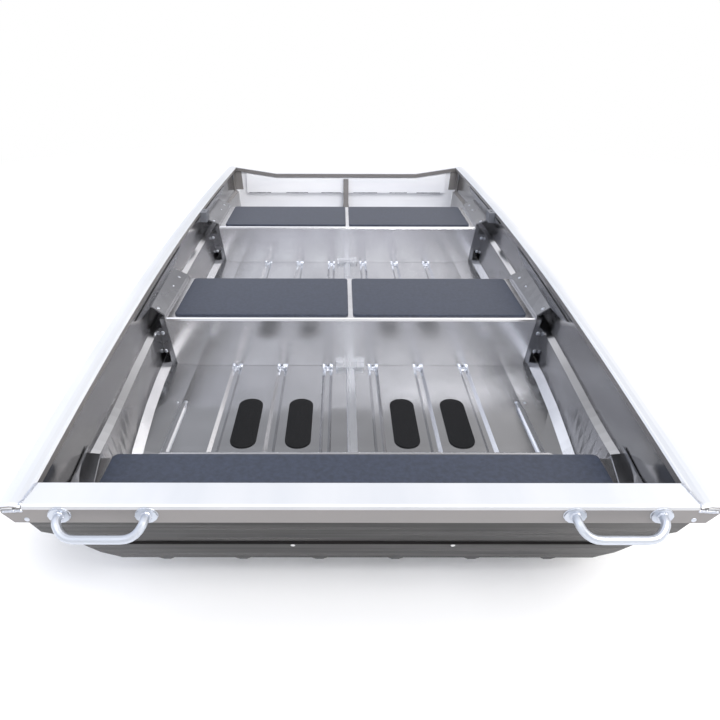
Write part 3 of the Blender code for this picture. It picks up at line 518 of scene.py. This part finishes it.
def bracket_fixings(shape):
    """Rivets and spots of weld on the brackets."""
    for side, word in SIDES:
        bracket = surface(f"front_seat_bracket_{word}", f"side_skin_{word}")
        low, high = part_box(f"front_seat_bracket_{word}")
        x = max(abs(low[0]), abs(high[0])) - FRONT_RIVET_INSET
        above = (side * x, high[1] - FRONT_RIVET_INSET, high[2] + CLEAR)
        dome_on(shape, bracket, above, DOWN, BRACKET_RIVET, BRACKET_RIVET / 2)
    for seat in SEATS[1:]:
        front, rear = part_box(seat)[0][1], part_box(seat)[1][1]
        for side, word in SIDES:
            bracket = surface(f"{seat}_bracket_{word}")
            low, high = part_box(f"{seat}_bracket_{word}")
            x = (low[0] + high[0]) / 2
            for share in SPOT_STATION_SHARES:
                above = (x, front + (rear - front) * share, high[2] + CLEAR)
                dome_on(shape, bracket, above, DOWN, BRACKET_SPOT, BRACKET_SPOT / 3)
            above = (x, front + (rear - front) * RIVET_STATION_SHARE, high[2] + CLEAR)
            dome_on(shape, bracket, above, DOWN, BRACKET_RIVET, BRACKET_RIVET / 2)
            outward = Vector((side, 0, 0))
            for height in FACE_SPOT_HEIGHTS:
                edge = laid_on(surface(f"side_skin_{word}"), [(0, front, height)], outward)[0][0]
                dome(shape, edge - outward * BRACKET_SPOT, FORWARD, BRACKET_SPOT, BRACKET_SPOT / 3)


new_piece("bracket_fixings", bracket_fixings, bright_weld)


def closed_loft(shape, rings):
    """A closed form through rings of corners, with a face over each end."""
    join_rings(shape, rings)
    shape.faces.new(rings[0])
    shape.faces.new(rings[-1][::-1])


def flange_edges(shape):
    """The flanges' outer edges, which follow the hull side and close up against it."""
    for seat in SEATS[1:]:
        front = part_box(seat)[0][1]
        middle, rear = front + FLANGE_SHEET / 2, front + FLANGE_SHEET
        for side, word in SIDES:
            skin, bracket = surface(f"side_skin_{word}"), surface(f"{seat}_bracket_{word}")
            outward = Vector((side, 0, 0))
            rows = []
            for step in range(FLANGE_STEPS + 1):
                height = FLANGE_RISES[0] + (FLANGE_RISES[1] - FLANGE_RISES[0]) * step / FLANGE_STEPS
                outer = laid_on(skin, [(0, middle, height)], outward)[0][0].x - side * FLANGE_GAP
                edge = laid_on(bracket, [(outer, middle, height)], -outward)
                if edge:
                    inner = edge[0][0].x + side * FLANGE_GAP
                    corners = ((inner, front), (outer, front), (outer, rear), (inner, rear))
                    rows.append([shape.verts.new((x, y, height)) for x, y in corners])
            closed_loft(shape, rows)


new_piece("bracket_flange_edges", flange_edges, painted_shade_bracket_sheet)


def flange_feet(shape):
    """The flanges' feet, which close down onto the bilge beside each seat's face."""
    floor = surface("bottom_skin")
    for seat in SEATS[1:]:
        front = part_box(seat)[0][1]
        middle, rear = front + FLANGE_SHEET / 2, front + FLANGE_SHEET
        for side, word in SIDES:
            skin, bracket = surface(f"side_skin_{word}"), surface(f"{seat}_bracket_{word}")
            outward = Vector((side, 0, 0))
            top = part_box(f"{seat}_bracket_{word}")[0][2] + FLANGE_GAP
            inboard = (0, middle, top)
            outboard = laid_on(skin, [inboard], outward)[0][0] - outward * FLANGE_GAP
            ends = [laid_on(bracket, [inboard], outward)[0][0], laid_on(bracket, [outboard], -outward)[0][0]]
            rows = []
            for place, _ in laid_on(floor, between(*ends, FOOT_STEPS), DOWN):
                low = place.z + FLANGE_GAP
                corners = ((front, top), (front, low), (rear, low), (rear, top))
                rows.append([shape.verts.new((place.x, y, z)) for y, z in corners])
            closed_loft(shape, rows)


new_piece("bracket_flange_feet", flange_feet, painted_shade_bracket_sheet)


# Seat pads. Closed-cell EVA foam sheet, glued down, with rounded corners and a small round along its
# top edge. Its fine pebbled skin gives a soft sheen that grows towards the stern.

foam, tree, shader = new_material("eva_foam_sheet", "#343945", 0.42, 0.0)
place = add(tree, "ShaderNodeTexCoord").outputs["Object"]
pebbles = add(tree, "ShaderNodeTexVoronoi", Vector=place, Scale=1 / (1.6 * MM)).outputs["Distance"]
mottle = add(tree, "ShaderNodeTexNoise", Vector=place, Scale=1 / (12 * MM), Detail=5.0,
             Roughness=0.65).outputs[0]
amount = add(tree, "ShaderNodeMapRange", Value=mottle, From_Min=0.35, From_Max=0.65).outputs[0]
tone = add(tree, "ShaderNodeMix", {"data_type": "RGBA"}, i0=amount, i6=srgb("#2f3542"), i7=srgb("#394051"))
tree.links.new(tone.outputs[2], shader.inputs["Base Color"])
skin = add(tree, "ShaderNodeBump", Strength=0.5, Distance=0.15 * MM, Height=pebbles).outputs[0]
tree.links.new(skin, shader.inputs["Normal"])
FOAM_CORNER = 14 * MM
FOAM_EDGE = 1.8 * MM
PADS = ("front_seat_pad", "middle_seat_pad_port", "middle_seat_pad_starboard", "rear_seat_pad_port",
        "rear_seat_pad_starboard")


def rounded_outline(low, high, corner, inset):
    """Points round a rectangle with round corners, drawn in by an inset."""
    steps, least_radius = 8, 0.2 * MM
    radius = max(corner - inset, least_radius)
    centres = ((high[0] - corner, high[1] - corner), (low[0] + corner, high[1] - corner),
               (low[0] + corner, low[1] + corner), (high[0] - corner, low[1] + corner))
    points = []
    for quarter, (x, y) in enumerate(centres):
        for step in range(steps + 1):
            turn = math.pi / 2 * (quarter + step / steps)
            points.append((x + radius * math.cos(turn), y + radius * math.sin(turn)))
    return points


def sheet_pad(low, high, corner, edge):
    """A builder for a flat pad whose top edge is rounded."""
    def build(shape):
        edge_steps, flat_inset = 4, 0.6 * corner
        thick = high[2] - low[2]
        turns = [math.pi / 2 * step / edge_steps for step in range(1, edge_steps + 1)]
        levels = [(0.0, 0.0), (0.0, thick - edge)]
        levels += [(edge * (1 - math.cos(turn)), thick - edge * (1 - math.sin(turn))) for turn in turns]
        levels += [(flat_inset, thick)]
        rings = []
        for inset, height in levels:
            outline = rounded_outline(low, high, corner, inset)
            rings.append([shape.verts.new((x, y, low[2] + height)) for x, y in outline])
        closed_loft(shape, rings)
    return build


for name in PADS:
    low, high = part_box(name)
    build = sheet_pad(low, high, FOAM_CORNER, FOAM_EDGE)
    pad = new_piece(name.replace("pad", "foam"), build, foam)
    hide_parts(name)


# Floor pads. Four black rubber strips with round ends, glued to the floor between its ribs.

rubber, tree, shader = new_material("black_rubber", "#0c0d10", 0.7, 0.0)
shader.inputs["Specular IOR Level"].default_value = 0.25
place = add(tree, "ShaderNodeTexCoord").outputs["Object"]
grip = add(tree, "ShaderNodeTexVoronoi", Vector=place, Scale=1 / (4 * MM)).outputs["Distance"]
studs = add(tree, "ShaderNodeBump", Strength=0.7, Distance=0.6 * MM, Height=grip).outputs[0]
tree.links.new(studs, shader.inputs["Normal"])
RUBBER_EDGE = 0.8 * MM
END_FLAT = 0.1 * MM
for number in (1, 2, 3, 4):
    low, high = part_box(f"floor_pad_{number}")
    build = sheet_pad(low, high, (high[0] - low[0]) / 2 - END_FLAT, RUBBER_EDGE)
    pad = new_piece(f"floor_rubber_{number}", build, rubber)
    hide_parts(f"floor_pad_{number}")


# Floor bars. Flanged extrusions along the middle of the floor and along the bilge at the bow, each
# welded down both sides, and the bilge bars with a blob of weld at their after ends.

bar_metal = rolled_sheet("extruded_bar_aluminium", "#dfe1e5", "#cfd1d6", 0.28, LENGTHWAYS, 0.0,
                         smear_width=20 * MM)
dress(bar_metal, "keelson_fore", "keelson_aft", "keelson_tee_fore", "keelson_tee_aft", "bow_joiner_port",
      "bow_joiner_starboard")
BAR_WELD = 4 * MM
BAR_PITCH = 6 * MM
BLOB_RADIUS = 9 * MM
SPOT_RADIUS = 4.5 * MM
SPOT_OFFSET = 23.4 * MM
BLOB_FLATNESS = 0.6


def foot_edges(name):
    """The bar's lowest points on each side, in order along the boat."""
    stations = {}
    for vertex in nodes[name].data.vertices:
        stations.setdefault(round(vertex.co.y, 3), []).append(vertex.co.copy())
    rows = [points for _, points in sorted(stations.items()) if len(points) > 3]
    return ([min(points, key=lambda point: point.x) for points in rows],
            [max(points, key=lambda point: point.x) for points in rows])


def bar_welds(shape):
    """Welds down both sides of each bar, and a blob and a spot at the bilge bars' after ends."""
    for name in ("bow_joiner_port", "bow_joiner_starboard", "keelson_fore", "keelson_aft"):
        for sign, edge in zip((-1, 1), foot_edges(name)):
            bead(shape, [(point, (sign, 0, 1)) for point in edge], BAR_WELD, BAR_WELD / 2, BAR_PITCH, sign)
    floor = surface("bottom_skin")
    for side, word in SIDES:
        _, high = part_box(f"bow_joiner_{word}")
        last = [abs(vertex.co.x) for vertex in nodes[f"bow_joiner_{word}"].data.vertices
                if vertex.co.y > high[1] - BLOB_RADIUS]
        end = sum(last) / len(last)
        for x, radius in ((end, BLOB_RADIUS), (end + SPOT_OFFSET, SPOT_RADIUS)):
            above = (side * x, high[1] + radius / 2, high[2] + CLEAR)
            dome_on(shape, floor, above, DOWN, radius, radius * BLOB_FLATNESS)


new_piece("floor_bar_welds", bar_welds, bright_weld)


# Rowlock blocks. Moulded nylon, screwed under each gunwale's inner edge, with a bore for the pin.

nylon, tree, shader = new_material("moulded_nylon", "#6a6d74", 0.45, 0.0)
place = add(tree, "ShaderNodeTexCoord").outputs["Object"]
flow = add(tree, "ShaderNodeTexNoise", Vector=place, Scale=1 / (3 * MM), Detail=3.0).outputs[0]
flow_bump = add(tree, "ShaderNodeBump", Strength=0.4, Distance=0.1 * MM, Height=flow).outputs[0]
tree.links.new(flow_bump, shader.inputs["Normal"])
dress(nylon, "rowlock_port", "rowlock_starboard")


# Studio. A white floor and a round wall, plain white to the camera and in reflections away from the
# boat's own shadow, under a sky that is bright low down, at the sides and overhead, with one soft lamp.

FLOOR_RADIUS = 12.8
WALL_HEIGHT = 2.6
COVE_RADIUS = 1.2
COVE_STEPS = 8
ROUND_STEPS = 96


def turned(name, profile, material, closed):
    """A stage object turned round the upright axis from a profile of radius and height."""
    shape = bmesh.new()
    turns = [2 * math.pi * step / ROUND_STEPS for step in range(ROUND_STEPS)]
    rings = [[shape.verts.new((radius * math.cos(turn), radius * math.sin(turn), height)) for turn in turns]
             for radius, height in profile]
    if closed:
        shape.faces.new(rings[0])
    join_rings(shape, rings)
    bmesh.ops.recalc_face_normals(shape, faces=shape.faces)
    mesh = bpy.data.meshes.new(name)
    shape.to_mesh(mesh)
    shape.free()
    mesh.materials.append(material)
    stage = bpy.data.objects.new(name, mesh)
    bpy.context.collection.objects.link(stage)


SHADOW_REACH = (2.2, 4.5)
studio_paint, tree, shader = new_material("white_studio_paint", "#fafafa", 0.9, 0.0)
rays = add(tree, "ShaderNodeLightPath").outputs
seen = add(tree, "ShaderNodeMath", {"operation": "ADD"}, i0=rays["Is Camera Ray"],
           i1=rays["Is Glossy Ray"]).outputs[0]
seen = add(tree, "ShaderNodeMath", {"operation": "ADD", "use_clamp": True}, i0=seen,
           i1=rays["Is Transmission Ray"]).outputs[0]
place = add(tree, "ShaderNodeTexCoord").outputs["Object"]
distance = add(tree, "ShaderNodeVectorMath", {"operation": "LENGTH"}, i0=place).outputs["Value"]
far = add(tree, "ShaderNodeMapRange", {"interpolation_type": "SMOOTHSTEP"}, Value=distance,
          From_Min=SHADOW_REACH[0], From_Max=SHADOW_REACH[1]).outputs[0]
whitened = add(tree, "ShaderNodeMath", {"operation": "MULTIPLY"}, i0=seen, i1=far).outputs[0]
white = add(tree, "ShaderNodeEmission", Strength=1.0).outputs[0]
shown = add(tree, "ShaderNodeMixShader", i0=whitened, i1=shader.outputs[0], i2=white).outputs[0]
tree.links.new(shown, tree.nodes["Material Output"].inputs["Surface"])
turned("studio_floor", [(FLOOR_RADIUS / 2, 0.0), (FLOOR_RADIUS, 0.0)], studio_paint, True)
cove = []
for step in range(COVE_STEPS + 1):
    angle = math.pi / 2 * step / COVE_STEPS
    cove.append((FLOOR_RADIUS + COVE_RADIUS * math.sin(angle), COVE_RADIUS * (1 - math.cos(angle))))
turned("studio_wall", cove + [(FLOOR_RADIUS + COVE_RADIUS, WALL_HEIGHT)], studio_paint, False)

LOW_LEVEL = 0.95
MIDDLE_LEVEL = 0.34
SIDE_LEVEL = 0.6
OVERHEAD_LEVEL = 1.25
LOW_EDGE = (0.40, 0.58)
SIDE_EDGE = (0.18, 0.5)
OVERHEAD_EDGE = (0.64, 0.92)
sky = bpy.data.worlds.new("studio_sky")
bpy.context.scene.world = sky
sky.use_nodes = True
tree = sky.node_tree
direction = add(tree, "ShaderNodeTexCoord").outputs["Generated"]
parts = add(tree, "ShaderNodeSeparateXYZ", Vector=direction).outputs


def band(value, edge, first, last):
    """A level that changes softly across an edge in the sky."""
    return add(tree, "ShaderNodeMapRange", {"interpolation_type": "SMOOTHSTEP"}, Value=value,
               From_Min=edge[0], From_Max=edge[1], To_Min=first, To_Max=last).outputs[0]


outward = add(tree, "ShaderNodeMath", {"operation": "ABSOLUTE"}, i0=parts[0]).outputs[0]
low = band(parts[2], LOW_EDGE, LOW_LEVEL, MIDDLE_LEVEL)
sides = band(outward, SIDE_EDGE, 0.0, SIDE_LEVEL)
overhead = band(parts[2], OVERHEAD_EDGE, 0.0, OVERHEAD_LEVEL - MIDDLE_LEVEL)
level = add(tree, "ShaderNodeMath", {"operation": "ADD"}, i0=low, i1=overhead).outputs[0]
level = add(tree, "ShaderNodeMath", {"operation": "ADD"}, i0=level, i1=sides).outputs[0]
aside = add(tree, "ShaderNodeMapRange", Value=parts[0], From_Min=-0.7, From_Max=0.7).outputs[0]
tint = add(tree, "ShaderNodeMix", {"data_type": "RGBA"}, i0=aside, i6=srgb("#eef3ff"), i7=srgb("#fffbf7"))
background = tree.nodes["Background"]
tree.links.new(tint.outputs[2], background.inputs["Color"])
tree.links.new(level, background.inputs["Strength"])


LAMP_SIZE = (5.0, 4.0)
LAMP_POWER = 600
LAMP_PLACE = Vector((2.5, -6.0, 8.5))
lamp_data = bpy.data.lights.new("above_the_bow", "AREA")
lamp_data.shape = "RECTANGLE"
lamp_data.size, lamp_data.size_y = LAMP_SIZE
lamp_data.energy = LAMP_POWER
lamp = bpy.data.objects.new("above_the_bow", lamp_data)
bpy.context.collection.objects.link(lamp)
lamp.location = LAMP_PLACE
lamp.rotation_euler = (-LAMP_PLACE).to_track_quat("-Z", "Y").to_euler()


# The camera stands ahead of the bow, a metre above the ground, and looks down into the boat.
CAMERA_BEFORE_BOW = 0.8327
CAMERA_ASIDE = -0.0384
CAMERA_HEIGHT = 1.0857
PITCH = math.radians(28.544)
YAW = math.radians(0.139)
ROLL = math.radians(0.155)
IMAGE = 720
FOCAL_PIXELS = 620
CENTRE_COLUMN = 340.8
SENSOR = 36

bow_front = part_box("bow_cap")[0][1]
ahead = Vector((math.sin(YAW) * math.cos(PITCH), math.cos(YAW) * math.cos(PITCH), -math.sin(PITCH)))
right = Vector((math.cos(YAW), -math.sin(YAW), 0))
up = right.cross(ahead)
right, up = right * math.cos(ROLL) + up * math.sin(ROLL), up * math.cos(ROLL) - right * math.sin(ROLL)
camera_data = bpy.data.cameras.new("camera")
camera_data.sensor_width = SENSOR
camera_data.lens = SENSOR * FOCAL_PIXELS / IMAGE
camera_data.shift_x = (IMAGE / 2 - CENTRE_COLUMN) / IMAGE
camera_data.clip_start = 0.05
camera_data.clip_end = 200
camera = bpy.data.objects.new("camera", camera_data)
bpy.context.collection.objects.link(camera)
camera.matrix_world = Matrix((
    (right.x, up.x, -ahead.x, CAMERA_ASIDE),
    (right.y, up.y, -ahead.y, bow_front - CAMERA_BEFORE_BOW),
    (right.z, up.z, -ahead.z, CAMERA_HEIGHT),
    (0, 0, 0, 1),
))
bpy.context.scene.camera = camera
bpy.context.scene.view_settings.view_transform = "Standard"
bpy.context.scene.cycles.max_bounces = 16
bpy.context.scene.cycles.glossy_bounces = 12
